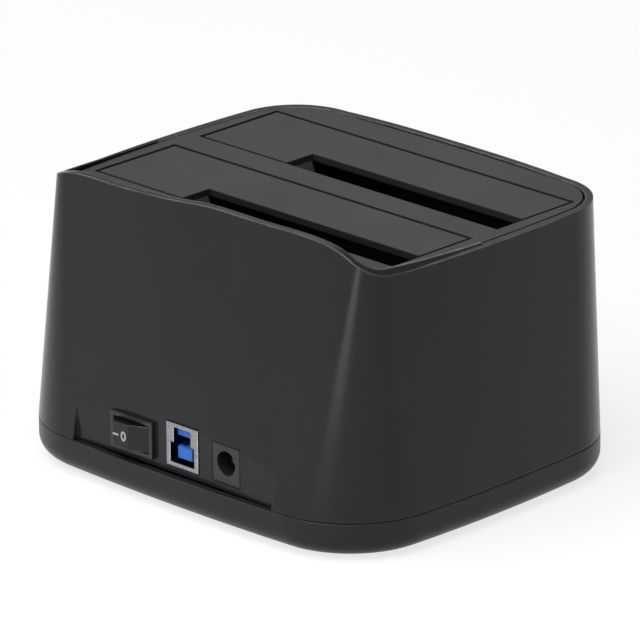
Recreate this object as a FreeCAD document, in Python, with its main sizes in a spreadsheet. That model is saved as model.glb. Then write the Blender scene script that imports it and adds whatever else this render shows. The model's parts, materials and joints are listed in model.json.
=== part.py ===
import FreeCAD, Part, Sketcher
import math
import os
import re

# A docking station that copies one drive to another: a tapered plastic casing with two
# drive bays on top, each closed by a sprung flap, and the power switch, USB socket and
# power inlet in a recess at the back.  Millimetres, +Z up, +Y towards the connector
# side, origin on the table under the middle of the casing.

Vector = FreeCAD.Vector
Rotation = FreeCAD.Rotation

doc = FreeCAD.newDocument("DriveDuplicator")
SIZES = {
    # drives and bays
    "drive_width": 101.6, "drive_thick": 26.1, "small_drive_width": 69.85,
    "small_drive_thick": 9.5, "bay_side_gap": 1.15, "bay_end_gap": 2.3, "bay_strip": 8.6,
    # casing, measured outwards from the bays
    "side_margin": 6.35, "side_flare": 5.3, "rear_margin": 15.0, "rear_flare": 11.1,
    "front_margin": 12.9, "front_flare": 1.2, "seam_height": 9.8, "plate_height": 71.0,
    "seam_rear_corner": 25.0, "seam_front_corner": 24.0, "top_rear_corner": 8.0,
    "top_front_corner": 18.0, "side_bow": 420.0, "end_bow": 700.0, "wall": 2.0,
    "crest_rise": 7.0, "front_rise": 0.3, "rim_room": 2.0, "base_round": 4.6,
    "seam_gap": 0.25, "far_out": 90.0,
    # feet and casing screws
    "foot_radius": 5.0, "foot_thick": 1.8, "foot_drop": 0.8, "foot_inset": 22.0,
    "post_side_inset": 17.6, "post_rear_inset": 13.4, "post_gap": 0.45, "post_radius": 3.5,
    "post_height": 16.0, "post_skirt": 0.8, "rib_thick": 1.6, "screw_radius": 1.3,
    "screw_head_radius": 2.5, "screw_head_thick": 1.8, "screw_length": 10.0,
    "screw_run_out": 2.0, "screw_gap": 0.05, "head_gap": 0.3, "shelf_thick": 0.8,
    # top cover
    "cover_thick": 2.4, "cover_gap": 0.6, "ledge_width": 1.5, "ledge_thick": 1.6,
    "ledge_notch": 0.6, "boss_radius": 1.7, "boss_length": 7.0, "boss_across": 16.0,
    "boss_gap": 0.2, "ear_thick": 2.2, "ear_screw_radius": 0.9, "ear_head_radius": 1.7,
    "ear_head_thick": 1.4, "ear_screw_length": 7.0,
    # bay frame
    "well_gap": 0.8, "well_wall": 1.4, "well_floor": 17.0, "floor_thick": 1.5,
    "frame_gap": 0.1, "hollow_gap": 0.3, "hinge_gap": 0.65, "fold_gap": 0.25,
    # flap and its hinge
    "flap_gap": 0.9, "flap_sink": 0.1, "flap_thick": 1.8, "small_drive_gap": 0.3,
    "small_slot_gap": 0.7, "pin_radius": 0.8, "pin_gap": 0.08, "pin_seat_gap": 0.03,
    "knuckle_radius": 1.7, "knuckle_width": 4.0, "knuckle_inset": 8.0, "folded_set": 1.2,
    "swing_gap": 0.3, "flap_web": 1.6, "flap_rib": 1.2, "rib_set": 6.0, "wing_lean": 1.9,
    "wing_depth": 4.4, "wing_thick": 1.5, "wing_gap": 0.3, "coil_radius": 1.4,
    "coil_wire": 0.4, "coil_width": 6.0, "coil_turns": 8.0, "coil_across": 22.0,
    # boards
    "board_top": 12.0, "board_thick": 1.6, "board_edge_gap": 1.1, "board_panel_gap": 0.4,
    "board_front_gap": 7.25, "standoff_radius": 3.0, "standoff_inset": 5.0,
    "standoff_end_inset": 10.0, "board_hole_gap": 0.2, "panel_screw_radius": 1.1,
    "panel_head_radius": 2.2, "panel_head_thick": 1.3, "panel_screw_length": 6.0,
    "front_board_half": 30.0, "front_board_rise": 8.0, "front_board_setback": 5.4,
    # drive connectors
    "sata_offset": 20.68, "sata_setback": 4.3, "sata_half_length": 21.3, "sata_half_width": 3.3,
    "sata_height": 11.0, "sata_slot_width": 2.2, "sata_slot_depth": 5.6, "sata_skin": 1.1,
    "sata_step": 1.0, "sata_gap": 0.4, "data_slot_start": 8.0, "data_slot_end": 18.9,
    "power_slot_start": 18.9, "power_slot_end": 5.4, "data_blade": 9.6, "power_blade": 15.6,
    "contact_pitch": 1.27, "contact_width": 0.6, "contact_thick": 0.35, "contact_height": 4.6,
    # recess and sockets at the back
    "recess_depth": 2.5, "recess_left": 35.0, "recess_right": 34.8, "recess_height": 19.0,
    "fit_gap": 0.15, "usb_across": -2.7, "usb_width": 11.0, "usb_height": 11.4,
    "usb_depth": 16.6, "usb_sheet": 0.45, "usb_proud": 0.3, "usb_back": 6.0,
    "port_low_width": 8.4, "port_low_height": 5.3, "port_top_width": 6.0, "port_height": 9.3,
    "tongue_set": 1.1, "tongue_width": 5.0, "tongue_low": 1.1, "tongue_thick": 3.2,
    "upper_tongue_low": 7.2, "upper_tongue_thick": 1.7, "strip_thick": 0.2,
    "strip_set": 0.6, "strip_across": 1.25, "strip_width": 1.0, "fine_strip_width": 0.5,
    "jack_across": -17.8, "jack_width": 9.2, "jack_height": 10.0, "jack_depth": 13.6,
    "jack_hole": 3.15, "jack_hole_depth": 10.0, "jack_pin": 1.0, "jack_pin_set": 3.0, "jack_rise": 5.4,
    "leaf_thick": 0.4, "leaf_height": 1.8, "leaf_set": 1.0,
    # rocker switch
    "switch_across": 14.4, "switch_rise": 4.8, "rocker_length": 11.0, "rocker_shoulder": 10.6,
    "rocker_crown": 4.6, "rocker_brow": 3.4, "rocker_side": 2.2, "rocker_waist": 1.2,
    "rocker_root": 4.2, "rocker_foot": 3.2, "rocker_height": 6.7, "rocker_tilt": 14.0,
    "rocker_gap": 0.7, "rocker_side_gap": 0.35, "housing_wall": 0.55, "bezel_lip": 0.55,
    "bezel_proud": 1.2, "rocker_axis_depth": 2.3, "switch_depth": 10.5, "switch_floor": 1.2,
    "trunnion_radius": 0.9, "trunnion_length": 0.3, "terminal_length": 5.0,
    "terminal_across": 3.5, "terminal_width": 0.8, "terminal_height": 4.0,
    # copy button and lamps at the front
    "button_radius": 5.0, "button_rise": 13.0, "button_gap": 0.3, "button_proud": 0.9,
    "button_round": 0.6, "collar_gap": 0.9, "collar_thick": 0.9, "collar_lip": 1.2,
    "push_case": 6.0, "push_depth": 2.2, "push_well": 1.9, "plunger_radius": 1.5,
    "plunger_reach": 0.5, "lamp_radius": 1.3, "lamp_width": 1.6, "lamp_height": 1.2,
    "lamp_depth": 0.8, "guide_gap": 0.1, "guide_lamp_gap": 0.2, "guide_lip": 0.7,
    "guide_collar": 0.8, "lamp_first": 16.0, "lamp_step": 8.0,
}

# sizes and places that follow from the ones above
PLACES = {
    "bay_width": "drive_width + 2 * bay_side_gap",
    "bay_depth": "drive_thick + bay_end_gap",
    "bay_pitch": "bay_depth + bay_strip",
    "rear_bay_front": "(bay_pitch + front_margin + front_flare"
                      " - bay_depth - rear_margin - rear_flare) / 2",
    "front_bay_front": "rear_bay_front - bay_pitch",
    "top_half": "bay_width / 2 + side_margin",
    "seam_half": "top_half + side_flare",
    "top_rear": "rear_bay_front + bay_depth + rear_margin",
    "seam_rear": "top_rear + rear_flare",
    "top_front": "front_margin - front_bay_front",
    "seam_front": "top_front + front_flare",
    "post_top": "seam_height + seam_gap + post_height",
    "post_across": "seam_half - post_side_inset",
    "post_rear": "seam_rear - post_rear_inset",
    "shelf_height": "seam_height - screw_head_thick - shelf_thick",
    "foot_across": "seam_half - foot_inset",
    "foot_along": "seam_rear - foot_inset",
    "cover_low": "plate_height - cover_thick",
    "hinge_drop": "cover_thick + knuckle_radius + hollow_gap",
    "hinge_height": "plate_height - hinge_drop",
    "hinge_forward": "hinge_drop - folded_set",
    "folded_back": "hinge_forward + flap_sink + flap_thick - hinge_drop",
    "swing_recess": "hinge_forward + flap_thick + wing_depth - hinge_drop + swing_gap",
    "swing_low": "plate_height - hinge_drop - hinge_forward - bay_depth - swing_gap",
    "knuckle_across": "bay_width / 2 - knuckle_inset",
    "hinge_half": "knuckle_across + knuckle_width / 2 + hinge_gap",
    "hinge_box_half": "hinge_half + well_wall",
    "flap_top": "plate_height - flap_sink",
    "flap_under": "flap_top - flap_thick",
    "flap_half": "bay_width / 2 - flap_gap",
    "slot_end": "small_drive_width - drive_width / 2 + small_drive_gap + wing_lean",
    "slot_depth": "small_drive_thick + small_slot_gap",
    "bay_half": "bay_width / 2 + frame_gap",
    "well_half": "drive_width / 2 + well_gap",
    "well_set": "bay_depth + frame_gap - drive_thick - well_gap - hollow_gap",
    "frame_half": "bay_half + well_wall",
    "frame_front": "front_bay_front - swing_recess - well_wall",
    "frame_main_front": "front_bay_front - folded_back - fold_gap - well_wall",
    "frame_rear": "rear_bay_front + bay_depth + frame_gap + well_wall",
    "frame_low": "well_floor - floor_thick",
    "post_front": "post_gap + post_radius + well_wall - well_set - front_bay_front",
    "boss_rear": "frame_rear + boss_gap + boss_radius",
    "boss_front": "boss_gap + boss_radius - frame_front",
    "ear_top": "cover_low - boss_length",
    "panel_face": "seam_rear - recess_depth",
    "board_low": "board_top - board_thick",
    "board_half_width": "post_across - post_radius - board_edge_gap",
    "board_rear": "panel_face - wall - board_panel_gap",
    "board_front": "board_front_gap - seam_front",
    "standoff_across": "board_half_width - standoff_inset",
    "standoff_along": "-board_front - standoff_end_inset",
    "button_height": "board_top + button_rise",
    "front_skin": "seam_front - front_flare * (button_height - seam_height)"
                  " / (plate_height - seam_height)",
    "front_board_face": "wall + front_board_setback - front_skin",
    "front_board_back": "front_board_face + board_thick",
    "front_board_top": "button_height + front_board_rise",
    "sata_top": "board_top + sata_height",
    "usb_face": "panel_face + usb_proud",
    "usb_rear": "usb_face - usb_depth + usb_sheet",
    "usb_top": "board_top + usb_height",
    "tongue_face": "usb_face - tongue_set",
    "port_low": "board_top + (usb_height - port_height) / 2",
    "jack_centre": "board_top + jack_rise",
    "switch_centre": "board_top + switch_rise",
    "window_width": "rocker_length + 2 * rocker_gap",
    "window_height": "rocker_height + 2 * rocker_side_gap",
    "switch_width": "window_width + 2 * housing_wall",
    "switch_height": "window_height + 2 * housing_wall",
    "bezel_width": "switch_width + 2 * bezel_lip",
    "bezel_height": "switch_height + 2 * bezel_lip",
    "bezel_face": "panel_face + bezel_proud",
    "rocker_axis": "bezel_face - rocker_axis_depth",
    "switch_back": "bezel_face - switch_depth",
}


def rule(text, own=()):
    """A FreeCAD expression: each name gets the name of the sheet that holds it in front."""
    def full_name(word):
        name = word.group()
        if name in own:
            return name
        if name in SIZES:
            return f"Sizes.{name}"
        return f"Places.{name}" if name in PLACES else name
    return re.sub(r"[a-z][a-z_]*", full_name, str(text))


def fill(target, cells):
    for row, (name, content) in enumerate(cells.items(), start=1):
        target.set(f"A{row}", name)
        target.set(f"B{row}", content)
        target.setAlias(f"B{row}", name)
    doc.recompute()


sheet = doc.addObject("Spreadsheet::Sheet", "Sizes")
fill(sheet, {name: str(amount) for name, amount in SIZES.items()})
places = doc.addObject("Spreadsheet::Sheet", "Places")
fill(places, {name: "=" + rule(text, own=PLACES) for name, text in PLACES.items()})

pieces = []


def size(name):
    """The number that a sheet holds, for shapes that Part's own functions make."""
    return float((sheet if name in SIZES else places).get(name))


def number(text):
    """What a rule of names and sums comes to."""
    return float(sheet.evalExpression(rule(text)))


def bind(item, prop, text):
    item.setExpression(prop, rule(text))


def block(x, y, z):
    """A box whose low and high ends along each axis are rules."""
    item = doc.addObject("Part::Box", "Block")
    for side, axis, (low, high) in zip(("Length", "Width", "Height"), "xyz", (x, y, z)):
        bind(item, side, f"({high}) - ({low})")
        bind(item, f"Placement.Base.{axis}", low)
    return item


def about(centre, half):
    return f"({centre}) - ({half})", f"({centre}) + ({half})"


TURNS = {"x": Rotation(Vector(0, 1, 0), 90), "y": Rotation(Vector(1, 0, 0), -90),
         "z": Rotation()}


def rod(axis, radius, ends, first, second):
    """A cylinder along an axis; first and second are its place on the other two axes."""
    item = doc.addObject("Part::Cylinder", "Rod")
    item.Placement = FreeCAD.Placement(Vector(0, 0, 0), TURNS[axis])
    bind(item, "Radius", radius)
    bind(item, "Height", f"({ends[1]}) - ({ends[0]})")
    others = [first, second]
    others.insert("xyz".index(axis), ends[0])
    for name, text in zip("xyz", others):
        bind(item, f"Placement.Base.{name}", text)
    return item


def join(items):
    if len(items) == 1:
        return items[0]
    item = doc.addObject("Part::MultiFuse", "Join")
    item.Shapes = items
    return item


def cut(base, tools):
    item = doc.addObject("Part::Cut", "Cut")
    item.Base = base
    item.Tool = join(tools)
    return item


def group(items):
    """Separate solids that are one node, such as four screws."""
    item = doc.addObject("Part::Compound", "Group")
    item.Links = items
    return item


def shaped(shape):
    item = doc.addObject("Part::Feature", "Shaped")
    item.Shape = shape
    return item


def piece(label, item):
    item.Label = label
    pieces.append(item)
    return item


# ---------------------------------------------------------------- bodies with sketches

def origin_plane(body, role):
    return next(item for item in body.Origin.OriginFeatures if item.Role == role)


def new_body():
    return doc.addObject("PartDesign::Body", "Body")


def sketch_on(body, role):
    sketch = body.newObject("Sketcher::SketchObject", "Sketch")
    sketch.AttachmentSupport = [(origin_plane(body, role), "")]
    sketch.MapMode = "FlatFace"
    return sketch


def closed_lines(sketch, rules):
    """Lines that close the corners, which are rules across and up, ends joined and tied."""
    corners = [Vector(number(across), number(up), 0) for across, up in rules]
    count = len(corners)
    for index, corner in enumerate(corners):
        sketch.addGeometry(Part.LineSegment(corner, corners[(index + 1) % count]), False)
    for index in range(count):
        sketch.addConstraint(Sketcher.Constraint("Coincident", index, 2,
                                                 (index + 1) % count, 1))
    for index, (across, up) in enumerate(rules):
        for kind, text in (("DistanceX", across), ("DistanceY", up)):
            start = sketch.Geometry[index].StartPoint
            now = start.x if kind == "DistanceX" else start.y
            place = sketch.addConstraint(Sketcher.Constraint(kind, -1, 1, index, 1, now))
            sketch.setExpression(f"Constraints[{place}]", rule(text))


# ---------------------------------------------------------------- casing outline

def corner_arc(half, reach, middle, side_radius, end_radius, corner):
    """Start, middle and end of the corner arc that runs into a bowed side and a bowed end."""
    side = Vector(half - side_radius, middle, 0)
    end = Vector(0, reach - end_radius, 0)
    between = end - side
    gap = between.Length
    far = side_radius - corner
    near = end_radius - corner
    along = (gap * gap + far * far - near * near) / (2 * gap)
    off = math.sqrt(far * far - along * along)
    foot = side + between * (along / gap)
    across = Vector(-between.y, between.x, 0) * (off / gap)
    centre = max((foot + across, foot - across), key=lambda point: point.x + point.y)
    to_side = (centre - side).normalize()
    to_end = (centre - end).normalize()
    halfway = (to_side + to_end).normalize()
    return [centre + way * corner for way in (to_side, halfway, to_end)]


def between(low, high, height):
    """A size at a height, from its amounts at the seam and at the plate."""
    rise = (height - size("seam_height")) / (size("plate_height") - size("seam_height"))
    return size(low) + (size(high) - size(low)) * rise


def outline(height, inset):
    """The casing's plan at a height: four bowed sides with round corners, moved inwards."""
    half = between("seam_half", "top_half", height) - inset
    rear = between("seam_rear", "top_rear", height) - inset
    front = between("seam_front", "top_front", height) - inset
    rear_corner = between("seam_rear_corner", "top_rear_corner", height) - inset
    front_corner = between("seam_front_corner", "top_front_corner", height) - inset
    middle = (rear - front) / 2
    bows = (size("side_bow") - inset, size("end_bow") - inset)
    back = corner_arc(half, rear, middle, *bows, rear_corner)
    fore = corner_arc(half, front, -middle, *bows, front_corner)

    def point(place, side, end):
        return Vector(place.x * side, place.y * end, height)

    right_fore, right_back = [point(p, 1, -1) for p in fore], [point(p, 1, 1) for p in back]
    left_fore, left_back = [point(p, -1, -1) for p in fore], [point(p, -1, 1) for p in back]
    edges = [
        Part.Arc(right_fore[0], Vector(half, middle, height), right_back[0]),
        Part.Arc(*right_back),
        Part.Arc(right_back[2], Vector(0, rear, height), left_back[2]),
        Part.Arc(*reversed(left_back)),
        Part.Arc(left_back[0], Vector(-half, middle, height), left_fore[0]),
        Part.Arc(*left_fore),
        Part.Arc(left_fore[2], Vector(0, -front, height), right_fore[2]),
        Part.Arc(*reversed(right_fore)),
    ]
    return Part.Wire([edge.toShape() for edge in edges])


def tapered(low, high, inset):
    return Part.makeLoft([outline(low, inset), outline(high, inset)], True, True)


def solid_block(x, y, z):
    corner = Vector(x[0], y[0], z[0])
    return Part.makeBox(x[1] - x[0], y[1] - y[0], z[1] - z[0], corner)


def bored(radius, x, y, z, length, way):
    return Part.makeCylinder(radius, length, Vector(x, y, z), way)


UP, BACK, ACROSS = Vector(0, 0, 1), Vector(0, 1, 0), Vector(1, 0, 0)
CORNERS = [(side, end) for side in (-1, 1) for end in (-1, 1)]
BAYS = ("front", "rear")


def far_along(end, name):
    """How far along the depth the front or the rear one of a pair of places is."""
    return number(f"{name}_rear") if end > 0 else -number(f"{name}_front")


def end_rule(end, name):
    return f"{name}_rear" if end > 0 else f"-{name}_front"


# ---------------------------------------------------------------- upper shell

# the rear rim from left to right: share of the half width, share of the crest's rise
REAR_RIM = [(-0.98, 0), (-0.9, 0.4), (-0.8, 0.76), (-0.65, 0.97), (-0.33, 1), (0, 0.98),
            (0.14, 0.86), (0.3, 0.76), (0.6, 0.65), (0.8, 0.56), (0.9, 0.33), (0.98, 0)]
# the front rim is a low swell, the same to the left and right
FRONT_RIM = [(-0.66, 0), (-0.36, 1), (0, 1), (0.36, 1), (0.66, 0)]


def above_rim(profile, rise, low, high):
    """Everything above the rim line drawn through the profile, between two depths."""
    plate = size("plate_height")
    far = size("far_out")
    top = plate + far
    points = [Vector(share * size("top_half"), 0, plate + part * rise)
              for share, part in profile]
    line = Part.BSplineCurve()
    line.interpolate(Points=points)
    corners = [points[-1], Vector(far, 0, plate), Vector(far, 0, top), Vector(-far, 0, top),
               Vector(-far, 0, plate), points[0]]
    edges = [line.toShape()] + [Part.makeLine(a, b) for a, b in zip(corners, corners[1:])]
    face = Part.Face(Part.Wire(edges))
    face.translate(Vector(0, low, 0))
    return face.extrude(Vector(0, high - low, 0))


def front_skin(across):
    """How far along the depth the front wall's outside is beside the button."""
    return -size("front_skin") + across * across / (2 * size("end_bow"))


def lamp_places():
    steps = [size("lamp_first"), size("lamp_first") + size("lamp_step")]
    return sorted(side * step for side in (-1, 1) for step in steps)


def upper_shell():
    seam = size("seam_height") + size("seam_gap")
    wall = size("wall")
    far = size("far_out")
    top = size("plate_height") + size("crest_rise") + size("rim_room")
    panel = size("panel_face")
    recess = (-size("recess_right"), size("recess_left"))
    recess_top = seam + size("recess_height")
    shell = tapered(seam, top, 0).cut(tapered(seam - 1, top + 1, wall))
    backing = solid_block((recess[0] - wall, recess[1] + wall), (panel - wall, far),
                          (seam, recess_top))
    backing = backing.common(tapered(seam, recess_top, wall / 2))
    shell = shell.multiFuse([backing, cover_ledge(), posts(seam)])
    shell = shell.cut(frame_room())
    shell = shell.cut(solid_block(recess, (panel, far), (0, far)))
    shell = shell.cut(above_rim(REAR_RIM, size("crest_rise"), 0, far))
    shell = shell.cut(above_rim(FRONT_RIM, size("front_rise"), -far, 0))
    for tool in port_holes() + front_holes():
        shell = shell.cut(tool)
    for side, end in CORNERS:
        shell = shell.cut(bored(size("screw_radius") + size("screw_gap"),
                                side * size("post_across"), far_along(end, "post"), seam - 1,
                                size("screw_length") + size("screw_run_out"), UP))
    return shell


def frame_room():
    """The space that the bay frame takes, which the wall keeps clear of in its corners."""
    gap = size("hollow_gap")
    height = (size("swing_low") - gap, size("cover_low"))
    rooms = []
    for half, front in (("frame_half", "frame_main_front"), ("hinge_box_half", "frame_front")):
        across = size(half) + gap
        depth = (size(front) - gap, size("frame_rear") + gap)
        rooms.append(solid_block((-across, across), depth, height))
    return rooms[0].fuse(rooms[1])


def cover_ledge():
    """A ledge round the inside that carries the top cover, open at the cover's bosses."""
    high = size("cover_low")
    low = high - size("ledge_thick")
    wall = size("wall")
    ledge = tapered(low, high, wall / 2).cut(
        tapered(low - 1, high + 1, wall + size("ledge_width")))
    notch = size("boss_radius") + size("ledge_notch")
    for side, end in CORNERS:
        across = side * size("boss_across")
        reach = far_along(end, "boss")
        ledge = ledge.cut(solid_block((across - notch, across + notch),
                                      (reach - notch, reach + notch), (low - 1, high + 1)))
    return ledge


def posts(seam):
    """Four screw posts with ribs out to the walls."""
    solids = []
    top = size("post_top")
    rib = size("rib_thick") / 2
    far = size("far_out")
    for side, end in CORNERS:
        x, y = side * size("post_across"), far_along(end, "post")
        solids.append(bored(size("post_radius"), x, y, seam, top - seam, UP))
        solids.append(solid_block(sorted((x, side * far)), (y - rib, y + rib), (seam, top)))
        solids.append(solid_block((x - rib, x + rib), sorted((y, end * far)), (seam, top)))
    return solids[0].multiFuse(solids[1:]).common(tapered(seam, top, size("wall") / 2))


def port_holes():
    """Holes through the recessed panel for the USB socket, the inlet and the switch."""
    gap = size("fit_gap")
    board = size("board_top")
    depth = (size("panel_face") - 2 * size("wall"), size("panel_face") + size("wall"))

    def hole(across, width, bottom, height):
        return solid_block((across - width / 2 - gap, across + width / 2 + gap), depth,
                           (bottom - gap, bottom + height + gap))

    switch_low = size("switch_centre") - size("switch_height") / 2
    return [
        hole(size("usb_across"), size("usb_width"), board, size("usb_height")),
        hole(size("jack_across"), size("jack_width"), board, size("jack_height")),
        hole(size("switch_across"), size("switch_width"), switch_low, size("switch_height")),
    ]


def front_holes():
    """Holes in the front wall for the copy button and the lamps."""
    height = size("button_height")
    start = front_skin(0) - size("wall")
    length = 3 * size("wall")
    tools = [bored(size("button_radius") + size("button_gap"), 0, start, height, length, BACK)]
    for across in lamp_places():
        tools.append(bored(size("lamp_radius") + size("fit_gap"), across, start, height,
                           length, BACK))
    return tools


piece("upper_shell", shaped(upper_shell()))


# ---------------------------------------------------------------- top cover

def top_cover():
    plate = size("plate_height")
    low = size("cover_low")
    cover = tapered(low, plate, size("wall") + size("cover_gap"))
    half = size("bay_width") / 2
    for bay in BAYS:
        edge = size(f"{bay}_bay_front")
        opening = solid_block((-half, half), (edge, edge + size("bay_depth")),
                              (low - 1, plate + 1))
        cover = cover.cut(opening)
    length = size("boss_length")
    for side, end in CORNERS:
        x, y = side * size("boss_across"), far_along(end, "boss")
        boss = bored(size("boss_radius"), x, y, low - length, length, UP)
        core = bored(size("ear_screw_radius") + size("screw_gap"), x, y, low - length,
                     length - 1, UP)
        cover = cover.fuse(boss).cut(core)
    return cover


piece("top_cover", shaped(top_cover()))


# ---------------------------------------------------------------- base tray and feet

def base_tray():
    seam = size("seam_height")
    low = size("foot_drop")
    wall = size("wall")
    tray = Part.Face(outline(seam, 0)).extrude(Vector(0, 0, low - seam))
    tray = tray.makeFillet(size("base_round"), flat_edges(tray, "Z", low))
    floor = low + wall
    hollow = Part.Face(outline(seam, wall)).extrude(Vector(0, 0, floor - seam - 1))
    hollow.translate(UP)
    tray = tray.cut(hollow)
    solids = []
    for side, end in CORNERS:
        x, y = side * size("post_across"), far_along(end, "post")
        skirt = size("post_radius") + size("post_skirt")
        solids.append(bored(skirt, x, y, floor, seam - floor, UP))
        x, y = side * size("standoff_across"), end * size("standoff_along")
        solids.append(bored(size("standoff_radius"), x, y, floor, size("board_low") - floor, UP))
    tray = tray.multiFuse(solids)
    shelf = size("shelf_height")
    for side, end in CORNERS:
        x, y = side * size("post_across"), far_along(end, "post")
        head = size("screw_head_radius") + size("head_gap")
        tray = tray.cut(bored(head, x, y, low - 1, shelf - low + 1, UP))
        tray = tray.cut(bored(size("screw_radius") + size("screw_gap"), x, y, low, seam, UP))
        x, y = side * size("standoff_across"), end * size("standoff_along")
        tray = tray.cut(bored(size("panel_screw_radius") + size("screw_gap"), x, y, floor,
                              seam, UP))
        x, y = side * size("foot_across"), end * size("foot_along")
        seat = size("foot_radius") + size("fit_gap")
        tray = tray.cut(bored(seat, x, y, low - 1, size("foot_thick") - low + 1, UP))
    return tray


def flat_edges(solid, axis, place):
    """The edges of a solid that lie in one plane square to an axis."""
    def ends(edge):
        return (getattr(edge.BoundBox, axis + "Min"), getattr(edge.BoundBox, axis + "Max"))
    return [edge for edge in solid.Edges if all(abs(end - place) < 0.01 for end in ends(edge))]


def screws(spots, radius, head_radius, head_thick, length, head_at, way):
    """A row of pan head screws, each a head and a shank in one solid; way is +1 up, -1 down."""
    items = []
    for x, y in spots:
        ends = [f"{head_at} - {way} * {head_thick}", head_at, f"{head_at} + {way} * {length}"]
        head, shank = ends[:2][::way], ends[1:][::way]
        items.append(join([rod("z", head_radius, head, x, y), rod("z", radius, shank, x, y)]))
    return group(items)


piece("base_tray", shaped(base_tray()))
piece("rubber_feet", group([
    rod("z", "foot_radius", ("0", "foot_thick"),
        f"{side} * foot_across", f"{end} * foot_along") for side, end in CORNERS]))
piece("case_screws", screws(
    [(f"{side} * post_across", end_rule(end, "post")) for side, end in CORNERS],
    "screw_radius", "screw_head_radius", "screw_head_thick", "screw_length", "shelf_height", 1))


# ---------------------------------------------------------------- bay frame

def bay_frame():
    """Two wells under the bays, each with room in front of its opening for the hinge."""
    solids = [
        block(about("0", "frame_half"), ("frame_main_front", "frame_rear"),
              ("swing_low", "cover_low")),
        block(about("0", "hinge_box_half"), ("frame_front", "front_bay_front"),
              ("swing_low", "cover_low")),
        block(about("0", "frame_half"), ("front_bay_front + well_set - well_wall", "frame_rear"),
              ("frame_low", "swing_low")),
    ]
    tools = [block(about("0", "well_half - well_wall"),
                   ("front_bay_front + bay_depth + frame_gap + well_wall",
                    "rear_bay_front + well_set - well_wall"),
                   ("frame_low - 1", "swing_low - well_wall"))]
    for bay in BAYS:
        edge = f"{bay}_bay_front"
        back = f"{edge} + bay_depth + frame_gap"
        pin_reach = f"{pin_half(bay)} + 1"
        tools += [
            block(about("0", "bay_half"), (f"{edge} - folded_back - fold_gap", back),
                  ("swing_low", "cover_low + 1")),
            block(about("0", "hinge_half"), (f"{edge} - swing_recess", edge),
                  ("swing_low", "cover_low + 1")),
            block(about("0", "well_half"), (f"{edge} + well_set", back),
                  ("well_floor", "swing_low + 1")),
            block(about("-sata_offset", "sata_half_length + sata_gap"),
                  about(f"{edge} + bay_depth - sata_setback", "sata_half_width + sata_gap"),
                  ("frame_low - 1", "well_floor + 1")),
            rod("x", "pin_radius + pin_seat_gap", about("0", pin_reach),
                f"{edge} - hinge_forward", "hinge_height"),
        ]
    ear = ("ear_top - ear_thick", "ear_top")
    for side, end in CORNERS:
        across = f"{side} * boss_across"
        place = end_rule(end, "boss")
        ends = ("frame_rear - hollow_gap", place) if end > 0 else (place,
                                                                   "frame_front + hollow_gap")
        solids += [rod("z", "boss_radius", ear, across, place),
                   block(about(across, "boss_radius"), ends, ear)]
        tools.append(rod("z", "ear_screw_radius + fit_gap", ("ear_top - ear_thick - 1",
                                                             "ear_top + 1"), across, place))
    return cut(join(solids), tools)


def pin_half(bay):
    """The rear pin's ends lie in the frame's sides, the front pin's in the hinge box's."""
    return "hinge_box_half" if bay == "front" else "frame_half"


piece("bay_frame", bay_frame())
piece("frame_screws", screws(
    [(f"{side} * boss_across", end_rule(end, "boss")) for side, end in CORNERS],
    "ear_screw_radius", "ear_head_radius", "ear_head_thick", "ear_screw_length",
    "ear_top - ear_thick", 1))


# ---------------------------------------------------------------- flaps, pins and springs

def flap(edge):
    """An L-shaped flap with hinge arms at its front edge and a guide wing by the slot."""
    front = f"{edge} + flap_gap"
    back = f"{edge} + bay_depth - flap_gap"
    slot_front = f"{edge} + bay_depth - slot_depth"
    plate = block(about("0", "flap_half"), (front, back), ("flap_under", "flap_top"))
    notch = block(("-flap_half - 1", "slot_end"), (slot_front, f"{back} + 1"),
                  ("flap_under - 1", "flap_top + 1"))
    solids = [cut(plate, [notch])]
    pivot = f"{edge} - hinge_forward"
    low, high = about("hinge_height", "knuckle_radius")
    for across in ("-knuckle_across", "0", "knuckle_across"):
        width = about(across, "knuckle_width / 2")
        solids += [
            rod("x", "knuckle_radius", width, pivot, "hinge_height"),
            block(width, (pivot, f"{front} + flap_web"), (low, f"{high} - hollow_gap")),
            block(width, (front, f"{front} + flap_web"), (low, "flap_under + flap_sink")),
        ]
    rib = f"{front} + rib_set"
    solids.append(block(about("0", "knuckle_across"), (rib, f"{rib} + flap_rib"),
                        ("flap_under - flap_rib", "flap_under + flap_sink")))
    solids.append(wing(slot_front, back))
    bore = rod("x", "pin_radius + pin_gap", about("0", "flap_half"), pivot, "hinge_height")
    return cut(join(solids), [bore])


def wing(slot_front, back):
    """The guide that hangs from the flap at the slot's end and leans into the slot."""
    item = doc.addObject("Part::Wedge", "Wing")
    length = f"({back}) - ({slot_front}) - wing_gap"
    for prop, text in (("Xmin", "0"), ("Xmax", "wing_thick"), ("X2min", "wing_lean"),
                       ("X2max", "wing_lean + wing_thick"), ("Zmin", "0"), ("Zmax", length),
                       ("Z2min", "0"), ("Z2max", length), ("Ymin", "0"),
                       ("Ymax", "wing_depth + flap_sink")):
        bind(item, prop, text)
    item.Placement = FreeCAD.Placement(Vector(0, 0, 0), Rotation(ACROSS, 90))
    bind(item, "Placement.Base.x", "slot_end - wing_lean")
    bind(item, "Placement.Base.y", back)
    bind(item, "Placement.Base.z", "flap_under - wing_depth")
    return item


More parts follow.
